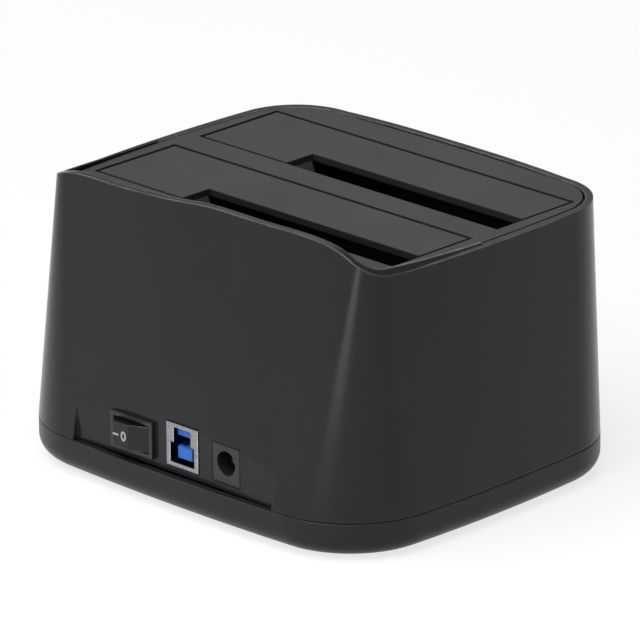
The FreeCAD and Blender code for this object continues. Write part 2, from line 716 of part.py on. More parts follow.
def spring(edge):
    """A torsion spring round the hinge pin, its fixed leg lying against the frame's wall."""
    radius = size("coil_radius")
    wire = size("coil_wire") / 2
    width = size("coil_width")
    helix = Part.makeHelix(width / size("coil_turns"), width, radius)
    start = Vector(radius, 0, 0)
    ring = Part.Wire(Part.makeCircle(wire, start, BACK))
    coil = Part.Wire(helix.Edges).makePipeShell([ring], True, True)
    reach = size("swing_recess") - size("hinge_forward") - size("fit_gap")
    leg = Part.makeCylinder(wire, reach, start, BACK)
    coil = coil.fuse(leg)
    coil.rotate(Vector(0, 0, 0), BACK, 90)
    coil.rotate(Vector(0, 0, 0), ACROSS, 180)
    item = shaped(coil)
    item.Placement.Base = Vector(size("coil_across"), size(edge) - size("hinge_forward"),
                                 size("hinge_height"))
    return item


for bay in BAYS:
    opening = f"{bay}_bay_front"
    piece(f"flap_{bay}", flap(opening))
    piece(f"flap_pin_{bay}", rod("x", "pin_radius", about("0", pin_half(bay)),
                                 f"{opening} - hinge_forward", "hinge_height"))
    piece(f"flap_spring_{bay}", spring(opening))


# ---------------------------------------------------------------- circuit boards

def main_board():
    plate = block(about("0", "board_half_width"), ("board_front", "board_rear"),
                  ("board_low", "board_top"))
    holes = [rod("z", "panel_screw_radius + board_hole_gap", ("board_low - 1", "board_top + 1"),
                 f"{side} * standoff_across", f"{end} * standoff_along")
             for side, end in CORNERS]
    return cut(plate, holes)


piece("main_board", main_board())
piece("board_screws", screws(
    [(f"{side} * standoff_across", f"{end} * standoff_along") for side, end in CORNERS],
    "panel_screw_radius", "panel_head_radius", "panel_head_thick", "panel_screw_length",
    "board_top", -1))
piece("front_board", block(about("0", "front_board_half"),
                           ("front_board_face", "front_board_back"),
                           ("board_top", "front_board_top")))

# parts soldered to the board: place across and along, width, depth, height
CHIPS = {
    "bridge_chip": ("-12", "0", "12", "12", "1.4"),
    "copy_controller": ("14", "-18", "9", "9", "1.2"),
    "memory_chip": ("28", "-2", "5", "6", "1.7"),
    "clock_crystal": ("3", "4", "4.8", "3.4", "1.1"),
    "coil_left": ("27.5", "board_rear - 10.5", "7", "7", "3.2"),
    "coil_right": ("-27.5", "board_rear - 10.5", "7", "7", "3.2"),
}
# round capacitors: place across, radius, height
CAPACITORS = [("-28", "2.5", "5.4"), ("-34", "2.5", "5.4"), ("34.5", "2.5", "5.4")]


def chip(name):
    x, y, width, depth, height = CHIPS[name]
    return block(about(x, f"{width} / 2"), about(y, f"{depth} / 2"),
                 ("board_top", f"board_top + {height}"))


for name in ("bridge_chip", "copy_controller", "memory_chip", "clock_crystal"):
    piece(name, chip(name))
piece("power_coils", group([chip("coil_left"), chip("coil_right")]))
piece("filter_capacitors", group([
    rod("z", radius, ("board_top", f"board_top + {height}"), x, "board_rear - 4")
    for x, radius, height in CAPACITORS]))
piece("board_header", block(about("0", "8"), ("front_board_back", "front_board_back + 2.5"),
                            ("board_top", "board_top + 2.5")))


# ---------------------------------------------------------------- drive connectors

def drive_connector(edge):
    """A block that steps in to a neck with the data slot and the power slot in its top."""
    middle = f"{edge} + bay_depth - sata_setback"
    low = "sata_top - sata_slot_depth"
    base = block(about("-sata_offset", "sata_half_length"), about(middle, "sata_half_width"),
                 ("board_top", f"{low} - sata_step"))
    neck = block(about("-sata_offset", "sata_half_length - sata_step"),
                 about(middle, "sata_slot_width / 2 + sata_skin"), ("board_top", "sata_top"))
    ends = [("data_slot_start - sata_offset", "data_slot_end - sata_offset"),
            ("-power_slot_start - sata_offset", "power_slot_end - sata_offset")]
    slots = [block(across, about(middle, "sata_slot_width / 2"), (low, "sata_top + 1"))
             for across in ends]
    return cut(join([base, neck]), slots)


def drive_contacts(edge):
    """Seven data blades and fifteen power blades along one wall of their slots."""
    wall = f"{edge} + bay_depth - sata_setback + sata_slot_width / 2"
    low = "sata_top - sata_slot_depth"
    blades = []
    for count, start in ((7, "data_blade - sata_offset"), (15, "-power_blade - sata_offset")):
        for index in range(count):
            blades.append(block(about(f"{start} + {index} * contact_pitch", "contact_width / 2"),
                                (f"{wall} - contact_thick", wall),
                                (low, f"{low} + contact_height")))
    return group(blades)


for bay in BAYS:
    piece(f"sata_housing_{bay}", drive_connector(f"{bay}_bay_front"))
    piece(f"sata_contacts_{bay}", drive_contacts(f"{bay}_bay_front"))


# ---------------------------------------------------------------- USB socket

def usb_shell():
    """A folded metal box whose opening is wide below and narrower above."""
    outer = block(about("usb_across", "usb_width / 2"), ("usb_face - usb_depth", "usb_face"),
                  ("board_top", "usb_top"))
    inner = block(about("usb_across", "usb_width / 2 - usb_sheet"),
                  ("usb_rear", "usb_face - usb_sheet"),
                  ("board_top + usb_sheet", "usb_top - usb_sheet"))
    depth = ("usb_face - 2 * usb_sheet", "usb_face + 1")
    wide = block(about("usb_across", "port_low_width / 2"), depth,
                 ("port_low", "port_low + port_low_height"))
    narrow = block(about("usb_across", "port_top_width / 2"), depth,
                   ("port_low", "port_low + port_height"))
    return cut(outer, [inner, wide, narrow])


UPPER_TONGUE = ("port_low + upper_tongue_low", "port_low + upper_tongue_low + upper_tongue_thick")
MAIN_TONGUE = ("port_low + tongue_low", "port_low + tongue_low + tongue_thick")


def usb_insulator():
    """The moulding behind the opening: a back block, the main tongue and the upper tongue."""
    depth = ("usb_rear + usb_back - 1", "tongue_face")
    back = block(about("usb_across", "usb_width / 2 - usb_sheet"),
                 ("usb_rear", "usb_rear + usb_back"),
                 ("board_top + usb_sheet", "usb_top - usb_sheet"))
    tongues = [block(about("usb_across", "tongue_width / 2"), depth, height)
               for height in (MAIN_TONGUE, UPPER_TONGUE)]
    return join([back] + tongues)


def usb_contacts():
    """Two strips above and two below the main tongue, and five under the upper tongue."""
    depth = ("usb_rear + usb_back", "tongue_face - strip_set")
    heights = [(MAIN_TONGUE[1], f"{MAIN_TONGUE[1]} + strip_thick"),
               (f"{MAIN_TONGUE[0]} - strip_thick", MAIN_TONGUE[0])]
    strips = [block(about(f"usb_across + {side} * strip_across", "strip_width / 2"), depth,
                    height) for side in (-1, 1) for height in heights]
    strips += [block(about(f"usb_across + {index} * strip_width", "fine_strip_width / 2"), depth,
                     (f"{UPPER_TONGUE[0]} - strip_thick", UPPER_TONGUE[0]))
               for index in range(-2, 3)]
    return group(strips)


piece("usb_shell", usb_shell())
piece("usb_insulator", usb_insulator())
piece("usb_contacts", usb_contacts())


# ---------------------------------------------------------------- power inlet

JACK_BACK = "panel_face - jack_hole_depth"


def jack_body():
    body = block(about("jack_across", "jack_width / 2"),
                 ("panel_face - jack_depth", "panel_face"),
                 ("board_top", "board_top + jack_height"))
    hole = rod("y", "jack_hole", (JACK_BACK, "panel_face + 1"), "jack_across", "jack_centre")
    slit = block(about("jack_across - jack_hole", "leaf_thick + fit_gap"),
                 (JACK_BACK, "panel_face - leaf_set"),
                 about("jack_centre", "leaf_height / 2 + 2 * fit_gap"))
    return cut(body, [hole, slit])


piece("jack_body", jack_body())
piece("jack_pin", rod("y", "jack_pin", (JACK_BACK, "panel_face - jack_pin_set"),
                      "jack_across", "jack_centre"))
# the leaf that touches the plug's sleeve, lying in a slit beside the hole
piece("jack_spring", block(
    about("jack_across - jack_hole", "leaf_thick / 2"),
    (f"{JACK_BACK} + fit_gap", "panel_face - leaf_set - fit_gap"),
    about("jack_centre", "leaf_height / 2")))


# ---------------------------------------------------------------- rocker switch

def switch_housing():
    x = "switch_across"
    z = "switch_centre"
    bezel = block(about(x, "bezel_width / 2"), ("panel_face", "bezel_face"),
                  about(z, "bezel_height / 2"))
    body = block(about(x, "switch_width / 2"), ("switch_back", "panel_face"),
                 about(z, "switch_height / 2"))
    window = block(about(x, "window_width / 2"),
                   ("switch_back + switch_floor", "bezel_face + 1"),
                   about(z, "window_height / 2"))
    holes = rod("z", "trunnion_radius + pin_gap", about(z, "window_height / 2 + trunnion_length"
                                                        " + pin_gap"), x, "rocker_axis")
    return cut(join([bezel, body]), [window, holes])


def switch_rocker():
    """The rocker's section is drawn level, padded upwards and turned to its pressed side."""
    body = new_body()
    sketch = sketch_on(body, "XY_Plane")
    right = [("rocker_shoulder / 2", "rocker_brow"), ("rocker_length / 2", "rocker_side"),
             ("rocker_shoulder / 2", "-rocker_waist"), ("rocker_foot / 2", "-rocker_root")]
    left = [(f"-{across}", up) for across, up in reversed(right)]
    closed_lines(sketch, [("0", "rocker_crown")] + right + left)
    doc.recompute()
    pad = body.newObject("PartDesign::Pad", "Pad")
    pad.Profile = sketch
    pad.Midplane = True
    bind(pad, "Length", "rocker_height")
    pins = sketch_on(body, "XY_Plane")
    pins.addGeometry(Part.Circle(Vector(0, 0, 0), UP, size("trunnion_radius")), False)
    radius = pins.addConstraint(Sketcher.Constraint("Radius", 0, size("trunnion_radius")))
    pins.setExpression(f"Constraints[{radius}]", rule("trunnion_radius"))
    trunnions = body.newObject("PartDesign::Pad", "Pad")
    trunnions.Profile = pins
    trunnions.Midplane = True
    bind(trunnions, "Length", "window_height + 2 * trunnion_length")
    body.Placement = FreeCAD.Placement(Vector(0, 0, 0), Rotation(UP, size("rocker_tilt")))
    bind(body, "Placement.Base.x", "switch_across")
    bind(body, "Placement.Base.y", "rocker_axis")
    bind(body, "Placement.Base.z", "switch_centre")
    return body


def switch_terminals():
    return group([block(about(f"switch_across + {side} * terminal_across", "terminal_width / 2"),
                        ("switch_back - terminal_length", "switch_back"),
                        about("switch_centre", "terminal_height / 2"))
                  for side in (-1, 1)])


piece("switch_housing", switch_housing())
piece("switch_rocker", switch_rocker())
piece("switch_terminals", switch_terminals())


# ---------------------------------------------------------------- copy button and lamps

def copy_button():
    """A round cap in the front wall with a collar behind it that keeps it in."""
    height = size("button_height")
    face = front_skin(0) - size("button_proud")
    collar_face = front_skin(0) + size("wall") + size("collar_gap")
    cap = bored(size("button_radius"), 0, face, height, collar_face - face, BACK)
    cap = cap.makeFillet(size("button_round"), flat_edges(cap, "Y", face))
    collar = bored(size("button_radius") + size("collar_lip"), 0, collar_face, height,
                   size("collar_thick"), BACK)
    return cap.fuse(collar)


def button_switch():
    """The push switch on the front board; its plunger slides into the hollow case."""
    height = size("button_height")
    board = size("front_board_face")
    half = size("push_case") / 2
    case = solid_block((-half, half), (board - size("push_depth"), board),
                       (height - half, height + half))
    well = bored(size("plunger_radius") + size("board_edge_gap") / 4, 0,
                 board - size("push_depth"), height, size("push_well"), BACK)
    return case.cut(well)


def button_plunger():
    start = (front_skin(0) + size("wall") + size("collar_gap") + size("collar_thick"))
    end = size("front_board_face") - size("push_depth") + size("plunger_reach")
    return bored(size("plunger_radius"), 0, start, size("button_height"), end - start, BACK)


def lamps():
    board = size("front_board_face")
    height = size("button_height")
    width, tall = size("lamp_width") / 2, size("lamp_height") / 2
    return [solid_block((x - width, x + width), (board - size("lamp_depth"), board),
                        (height - tall, height + tall)) for x in lamp_places()]


def light_guides():
    """Clear rods from the lamps to the front wall, each with a collar behind the wall."""
    height = size("button_height")
    end = size("front_board_face") - size("lamp_depth") - size("guide_lamp_gap")
    rods = []
    for x in lamp_places():
        start = front_skin(x) + size("guide_gap")
        guide = bored(size("lamp_radius"), x, start, height, end - start, BACK)
        collar = bored(size("lamp_radius") + size("guide_lip"), x,
                       front_skin(x) + size("wall") + size("guide_gap") * 4, height,
                       size("guide_collar"), BACK)
        rods.append(guide.fuse(collar))
    return rods


piece("copy_button", shaped(copy_button()))
piece("button_switch", shaped(button_switch()))
piece("button_plunger", shaped(button_plunger()))
piece("status_lamps", shaped(Part.makeCompound(lamps())))
piece("light_guides", shaped(Part.makeCompound(light_guides())))


# ---------------------------------------------------------------- checks and export

doc.recompute()
for item in doc.Objects:
    if "Invalid" in item.State or "Error" in item.State:
        raise RuntimeError(f"{item.Label} failed: {item.State}")
for item in pieces:
    if item.Shape.isNull() or not item.Shape.isValid():
        raise RuntimeError(f"{item.Label} has no valid shape")
    print(item.Label, len(item.Shape.Solids), round(item.Shape.Volume, 1))

os.makedirs("parts", exist_ok=True)
for item in pieces:
    item.Shape.exportStep(f"parts/{item.Label}.step")
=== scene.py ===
"""Finishes the two-bay drive duplicator in its plastics, metals and printing, on a pale stage."""

import json
import math

import bpy
from mathutils import Euler, Matrix, Vector


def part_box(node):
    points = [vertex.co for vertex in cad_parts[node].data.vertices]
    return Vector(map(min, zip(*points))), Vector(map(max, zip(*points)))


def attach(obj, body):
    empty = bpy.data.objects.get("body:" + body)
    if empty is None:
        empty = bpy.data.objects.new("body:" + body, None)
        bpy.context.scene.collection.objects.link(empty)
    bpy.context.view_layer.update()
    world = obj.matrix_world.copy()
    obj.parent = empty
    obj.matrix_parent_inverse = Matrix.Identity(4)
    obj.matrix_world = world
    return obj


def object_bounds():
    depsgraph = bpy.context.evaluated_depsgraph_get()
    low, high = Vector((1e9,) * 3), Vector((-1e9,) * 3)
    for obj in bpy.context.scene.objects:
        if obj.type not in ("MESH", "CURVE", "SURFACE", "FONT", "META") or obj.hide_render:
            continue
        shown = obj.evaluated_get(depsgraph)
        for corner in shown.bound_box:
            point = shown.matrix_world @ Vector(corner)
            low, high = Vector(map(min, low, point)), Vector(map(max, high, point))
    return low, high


bl_info = {
    "name": "Drive Duplicator Finisher",
    "version": (1, 0, 0),
    "blender": (4, 5, 0),
    "location": "3D View > Sidebar > Duplicator",
    "description": "Finishes a two-bay drive duplicator and sets it on a pale stage",
    "category": "Object",
}

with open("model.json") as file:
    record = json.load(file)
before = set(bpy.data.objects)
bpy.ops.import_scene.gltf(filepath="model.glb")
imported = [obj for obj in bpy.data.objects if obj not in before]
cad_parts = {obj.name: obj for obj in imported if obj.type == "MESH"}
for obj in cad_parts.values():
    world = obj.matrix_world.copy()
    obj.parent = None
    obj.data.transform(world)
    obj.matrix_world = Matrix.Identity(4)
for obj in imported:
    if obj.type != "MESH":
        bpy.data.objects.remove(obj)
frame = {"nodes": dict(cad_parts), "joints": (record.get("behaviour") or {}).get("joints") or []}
CAD_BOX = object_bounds()
MM = 0.001

# Sizes that the finishes share, in millimetres
MELT_MM = 35            # how far the melt's tint stays even
RUB_MM = 6              # patches that handling leaves
HANDLED_FADE_MM = 8     # over which the handled part of a moulding begins
TRACK_MM = 12.7         # pitch of the boards' track pattern
CLOUD_MM = 1.5          # clouds in cast resin
INK_GAP_MM = 0.02       # the print's back stands this far off the rocker
INK_MM = 0.04           # and is this thick

# Studio lamps: place from the object's middle, width and height in metres, and power in watts
LAMPS = {
    "overhead_lamp": ((0.0, 0.62, 1.2), 1.3, 1.3, 14.0),
    "corner_card": ((-0.09, 0.34, 0.055), 0.1, 0.18, 0.2),
    "back_lamp": ((0.85, -0.85, 0.7), 0.6, 0.4, 0.5),
}
FLOOR_SIZE = 12.0
SENSOR_MM = 36.0
FAR_CLIP = 20.0


# ---------------------------------------------------------------- helpers

def linear(hex_colour):
    """Turns an sRGB colour such as 3a383a into the linear values that a shader takes."""
    channels = [int(hex_colour[i:i + 2], 16) / 255 for i in (0, 2, 4)]
    return tuple(c / 12.92 if c <= 0.04045 else ((c + 0.055) / 1.055) ** 2.4
                 for c in channels) + (1.0,)


def node(material, kind, sockets=None, **settings):
    """Adds one shader node. Settings go to its properties, and each socket gets a value or a
    link."""
    made = material.node_tree.nodes.new(kind)
    for name, setting in settings.items():
        setattr(made, name, setting)
    for name, content in (sockets or {}).items():
        if isinstance(content, bpy.types.NodeSocket):
            material.node_tree.links.new(content, made.inputs[name])
        else:
            made.inputs[name].default_value = content
    return made


def new_material(name):
    """An empty node material, and the Object coordinates that its patterns read."""
    material = bpy.data.materials.new(name)
    material.use_nodes = True
    material.node_tree.nodes.clear()
    return material, node(material, "ShaderNodeTexCoord").outputs["Object"]


def finish_material(material, shader):
    """Links the finished shader to the material's output."""
    node(material, "ShaderNodeOutputMaterial", {"Surface": shader})
    return material


def per_metre(size_mm):
    """The texture scale that repeats a pattern every size_mm millimetres on Object coordinates."""
    return 1000.0 / size_mm


def coat(material, *names):
    """Puts a material on these CAD nodes, in place of the plain one they came with."""
    for name in names:
        mesh = frame["nodes"][name].data
        mesh.materials.clear()
        mesh.materials.append(material)


def only(piece):
    """Selects this piece alone and makes it the active one."""
    bpy.ops.object.select_all(action="DESELECT")
    piece.select_set(True)
    bpy.context.view_layer.objects.active = piece


def apply_modifier(piece, kind, **settings):
    """Adds a modifier to the piece, sets it up and applies it."""
    modifier = piece.modifiers.new(kind.title(), kind)
    for name, setting in settings.items():
        setattr(modifier, name, setting)
    only(piece)
    bpy.ops.object.modifier_apply(modifier=modifier.name)


# ---------------------------------------------------------------- finishes

def edge_wear_and_light(material, radius_mm):
    """Where a moulding's edges are: 0 on its faces and 1 on its sharpest edges. The second value
    is the normal with each edge rounded, on which the grain's bump is then laid."""
    rounded = node(material, "ShaderNodeBevel", {"Radius": radius_mm * MM}, samples=4)
    flat = node(material, "ShaderNodeNewGeometry")
    alike = node(material, "ShaderNodeVectorMath",
                 {0: rounded.outputs["Normal"], 1: flat.outputs["Normal"]}, operation="DOT_PRODUCT")
    worn_and_lit_edges = node(material, "ShaderNodeMapRange",
                {"Value": alike.outputs["Value"], "From Min": 0.97, "From Max": 0.8})
    return worn_and_lit_edges.outputs["Result"], rounded.outputs["Normal"]


def moulded_plastic(name, colour, shade, roughness, grain_mm, grain_depth_mm, specular=0.5,
                    edge="6a686a", edge_mm=0.5, painted_upright_shade=1.0, handled_above_mm=-10.0):
    """Injection-moulded plastic: its colour is even to a few percent, where the melt flowed, the
    mould's spark-eroded grain breaks up the highlight, and its edges take the edge colour: wear
    and a painted highlight where it is paler, painted shade where it is darker. The upright faces
    are darkened by a painted shade, and the edge colour is laid only above handled_above_mm.
    Real grain is about 0.15 mm across. It is drawn coarser, because finer grain doesn't show."""
    material, place = new_material(name)
    melt = node(material, "ShaderNodeTexNoise",
                {"Vector": place, "Scale": per_metre(MELT_MM), "Detail": 3.0})
    grain = node(material, "ShaderNodeTexNoise",
                 {"Vector": place, "Scale": per_metre(grain_mm), "Detail": 2.0, "Roughness": 0.6})
    worn_and_lit_edges, rounded = edge_wear_and_light(material, edge_mm)
    rubbed_and_lit = node(material, "ShaderNodeTexNoise",
                  {"Vector": place, "Scale": per_metre(RUB_MM), "Detail": 4.0})
    patchy = node(material, "ShaderNodeMapRange",
                  {"Value": rubbed_and_lit.outputs["Fac"], "From Min": 0.3, "From Max": 0.7,
                   "To Min": 0.35, "To Max": 0.9})
    height = node(material, "ShaderNodeSeparateXYZ", {"Vector": place})
    handled = node(material, "ShaderNodeMapRange",
                   {"Value": height.outputs["Z"],
                    "From Min": (handled_above_mm - HANDLED_FADE_MM) * MM,
                    "From Max": handled_above_mm * MM})
    patches_above_height = node(material, "ShaderNodeMath",
                   {0: handled.outputs["Result"], 1: patchy.outputs["Result"]},
                   operation="MULTIPLY")
    wear_and_painted_light = node(material, "ShaderNodeMath", {0: worn_and_lit_edges, 1: patches_above_height.outputs["Value"]},
                operation="MULTIPLY")
    tint = node(material, "ShaderNodeValToRGB", {"Fac": melt.outputs["Fac"]})
    for stop, (position, tone) in zip(tint.color_ramp.elements, ((0.3, shade), (0.7, colour))):
        stop.position, stop.color = position, linear(tone)
    # painted shade: the upright faces are darkened down to the given fraction of their colour
    lie = node(material, "ShaderNodeSeparateXYZ",
               {"Vector": node(material, "ShaderNodeTexCoord").outputs["Normal"]})
    level = node(material, "ShaderNodeMapRange",
                 {"Value": lie.outputs["Z"], "From Min": 0.02, "From Max": 0.3, "To Min": painted_upright_shade})
    shaded = node(material, "ShaderNodeVectorMath",
                  {0: tint.outputs["Color"], "Scale": level.outputs["Result"]}, operation="SCALE")
    # the edge colour laid on the edge mask: wear, with a painted highlight where it is paler and
    # painted shade where it is darker
    aged_and_lit = node(material, "ShaderNodeMixRGB",
                {"Fac": wear_and_painted_light.outputs["Value"], "Color1": shaded.outputs["Vector"],
                 "Color2": linear(edge)})
    gloss = node(material, "ShaderNodeMapRange",
                 {"Value": grain.outputs["Fac"], "To Min": roughness - 0.05,
                  "To Max": roughness + 0.05})
    polish = node(material, "ShaderNodeMath", {0: wear_and_painted_light.outputs["Value"], 1: 0.1},
                  operation="MULTIPLY")
    sheen = node(material, "ShaderNodeMath",
                 {0: gloss.outputs["Result"], 1: polish.outputs["Value"]}, operation="SUBTRACT")
    relief = node(material, "ShaderNodeBump",
                  {"Height": grain.outputs["Fac"], "Strength": 0.6,
                   "Distance": grain_depth_mm * MM, "Normal": rounded})
    plastic = node(material, "ShaderNodeBsdfPrincipled",
                   {"Base Color": aged_and_lit.outputs["Color"], "Roughness": sheen.outputs["Value"],
                    "Normal": relief.outputs["Normal"], "IOR": 1.52,
                    "Specular IOR Level": specular})
    return finish_material(material, plastic.outputs["BSDF"])


def worked_metal(name, colour, shade, roughness, mark_mm=(0.4, 0.4, 0.4), edge="f2f2f4",
                 edge_mm=0.12):
    """Plated or drawn metal: its colour is all in its reflection, which fine marks break up, and
    its edges are painted brighter, partly for rubbing and partly as a painted highlight."""
    material, place = new_material(name)
    along = node(material, "ShaderNodeMapping",
                 {"Vector": place, "Scale": tuple(per_metre(size) for size in mark_mm)})
    marks = node(material, "ShaderNodeTexNoise",
                 {"Vector": along.outputs["Vector"], "Scale": 1.0, "Detail": 3.0})
    worn_and_lit_edges, rounded = edge_wear_and_light(material, edge_mm)
    tone = node(material, "ShaderNodeValToRGB", {"Fac": marks.outputs["Fac"]})
    for stop, (position, tint) in zip(tone.color_ramp.elements, ((0.3, shade), (0.7, colour))):
        stop.position, stop.color = position, linear(tint)
    # painted highlight and rubbing: the edge mask lays the bright edge colour on the metal
    rubbed_and_lit = node(material, "ShaderNodeMixRGB",
                  {"Fac": worn_and_lit_edges, "Color1": tone.outputs["Color"], "Color2": linear(edge)})
    gloss = node(material, "ShaderNodeMapRange",
                 {"Value": marks.outputs["Fac"], "To Min": roughness * 0.7,
                  "To Max": roughness * 1.3})
    relief = node(material, "ShaderNodeBump",
                  {"Height": marks.outputs["Fac"], "Strength": 0.3, "Distance": 0.01 * MM,
                   "Normal": rounded})
    plate = node(material, "ShaderNodeBsdfPrincipled",
                 {"Base Color": rubbed_and_lit.outputs["Color"], "Metallic": 1.0,
                  "Roughness": gloss.outputs["Result"], "Normal": relief.outputs["Normal"]})
    return finish_material(material, plate.outputs["BSDF"])


def solder_mask(name, colour, track):
    """A circuit board: green lacquer over copper tracks about a millimetre apart, which show
    through it as paler lines."""
    material, place = new_material(name)
    lattice = node(material, "ShaderNodeTexBrick",
                   {"Vector": place, "Scale": per_metre(TRACK_MM), "Mortar Size": 0.012,
                    "Brick Width": 0.5, "Row Height": 0.1, "Color1": linear(colour),
                    "Color2": linear(colour), "Mortar": linear(track)})
    weave = node(material, "ShaderNodeTexNoise", {"Vector": place, "Scale": per_metre(0.6)})
    relief = node(material, "ShaderNodeBump",
                  {"Height": weave.outputs["Fac"], "Strength": 0.2, "Distance": 0.02 * MM})
    lacquer = node(material, "ShaderNodeBsdfPrincipled",
                   {"Base Color": lattice.outputs["Color"], "Roughness": 0.32,
                    "Normal": relief.outputs["Normal"], "IOR": 1.5})
    return finish_material(material, lacquer.outputs["BSDF"])


def cast_resin(name, colour, roughness, transmission):
    """Clear moulded resin, slightly clouded, as a lamp's lens or a light guide."""
    material, place = new_material(name)
    cloud = node(material, "ShaderNodeTexNoise", {"Vector": place, "Scale": per_metre(CLOUD_MM)})
    gloss = node(material, "ShaderNodeMapRange",
                 {"Value": cloud.outputs["Fac"], "To Min": roughness, "To Max": roughness + 0.1})
    resin = node(material, "ShaderNodeBsdfPrincipled",
                 {"Base Color": linear(colour), "Roughness": gloss.outputs["Result"],
                  "Transmission Weight": transmission, "IOR": 1.57})
    return finish_material(material, resin.outputs["BSDF"])


# ---------------------------------------------------------------- settings

class CasingSettings(bpy.types.PropertyGroup):
    """Colours of the mouldings."""

    shell_colour: bpy.props.StringProperty(
        name="Casing", description="sRGB hex colour of the semi-gloss casing", default="2a282b")
    cover_colour: bpy.props.StringProperty(
        name="Cover", description="sRGB hex colour of the matt cover and flaps", default="4f4d4d")
    tray_colour: bpy.props.StringProperty(
        name="Tray", description="sRGB hex colour of the tray under the casing", default="2a282b")


class MarkSettings(bpy.types.PropertyGroup):
    """Sizes of the printing on the rocker."""

    dash_length: bpy.props.FloatProperty(
        name="On mark", description="Length of the bar that stands for on",
        default=1.9 * MM, unit="LENGTH")
    dash_place: bpy.props.FloatProperty(
        name="On mark's place", description="From the rocker's hinge, along the rocker",
        default=3.2 * MM, unit="LENGTH")
    ring_place: bpy.props.FloatProperty(
        name="Off mark's place", description="From the rocker's hinge, along the rocker",
        default=0.5 * MM, unit="LENGTH")
    ring_width: bpy.props.FloatProperty(
        name="Off mark's width", description="Width of the ring that stands for off",
        default=1.8 * MM, unit="LENGTH")
    ring_height: bpy.props.FloatProperty(
        name="Off mark's height", description="Height of the ring that stands for off",
        default=2.6 * MM, unit="LENGTH")
    line: bpy.props.FloatProperty(
        name="Line", description="Thickness of the printed line", default=0.5 * MM, unit="LENGTH")


class StageSettings(bpy.types.PropertyGroup):
    """The floor, the light and the view."""

    azimuth: bpy.props.FloatProperty(
        name="Azimuth", description="Turn of the view about the upright, from the front",
        default=math.radians(224.49), unit="ROTATION")
    elevation: bpy.props.FloatProperty(
        name="Elevation", description="Height of the view above level",
        default=math.radians(20.23), unit="ROTATION")
    roll: bpy.props.FloatProperty(
        name="Roll", description="Turn of the camera about its own axis",
        default=math.radians(-0.39), unit="ROTATION")
    distance: bpy.props.FloatProperty(
        name="Distance", description="From the camera to the object's middle",
        default=1.754, unit="LENGTH")
    aim: bpy.props.FloatVectorProperty(
        name="Aim", description="The point looked at, from the middle of the object's box",
        default=(-0.0013, 0.0001, -0.0017), subtype="TRANSLATION")
    lens: bpy.props.FloatProperty(
        name="Lens", description="Focal length of the camera, on a sensor 36 mm wide",
        default=393.75, unit="CAMERA")
    daylight: bpy.props.FloatProperty(
        name="Daylight", description="Strength of the even light from all round", default=0.3)
    floor_glow: bpy.props.FloatProperty(
        name="Floor glow", description="What a camera or a mirror sees on top of the lit floor",
        default=0.75)
    floor_colour: bpy.props.StringProperty(
        name="Floor", description="sRGB hex colour of the floor", default="9c9c9c")


# ---------------------------------------------------------------- operators

class DUPLICATOR_OT_casing(bpy.types.Operator):
    """Finishes the casing, the cover, the flaps and the feet"""

    bl_idname = "duplicator.casing"
    bl_label = "Casing"

    def execute(self, context):
        look = context.scene.duplicator_casing
        # ABS from a polished mould with a very fine grain: a soft, wide highlight, and a rim
        # painted paler along its edges, partly wear from hands and partly a painted highlight
        coat(moulded_plastic("moulded ABS, semi-gloss", look.shell_colour, "262427", roughness=0.22,
                             grain_mm=0.5, grain_depth_mm=0.006, specular=0.22, edge="b4b2b4",
                             edge_mm=0.75, handled_above_mm=60.0),
             "upper_shell")
        # ABS from a spark-eroded mould: dry and even, with no clear highlight. Painted shade
        # darkens the lines round the flaps and the upright faces
        coat(moulded_plastic("moulded ABS, matt grain", look.cover_colour, "484646", roughness=0.6,
                             grain_mm=0.45, grain_depth_mm=0.03, specular=0.35, edge="141414",
                             edge_mm=0.45, painted_upright_shade=0.32),
             "top_cover", "flap_front", "flap_rear")
        # ABS of the same batch as the casing, a little duller
        coat(moulded_plastic("moulded ABS, satin", look.tray_colour, "262427", roughness=0.36,
                             grain_mm=0.6, grain_depth_mm=0.012, specular=0.24),
             "base_tray")
        # ABS that nobody sees from outside: left as the mould gave it
        coat(moulded_plastic("moulded ABS, inner", "5c5b5f", "555458", roughness=0.5,
                             grain_mm=0.6, grain_depth_mm=0.02),
             "bay_frame")
        # thermoplastic rubber: nearly no gloss
        coat(moulded_plastic("moulded rubber", "1d1d1e", "1a1a1b", roughness=0.85, grain_mm=0.4,
                             grain_depth_mm=0.03, specular=0.3),
             "rubber_feet")
        return {"FINISHED"}


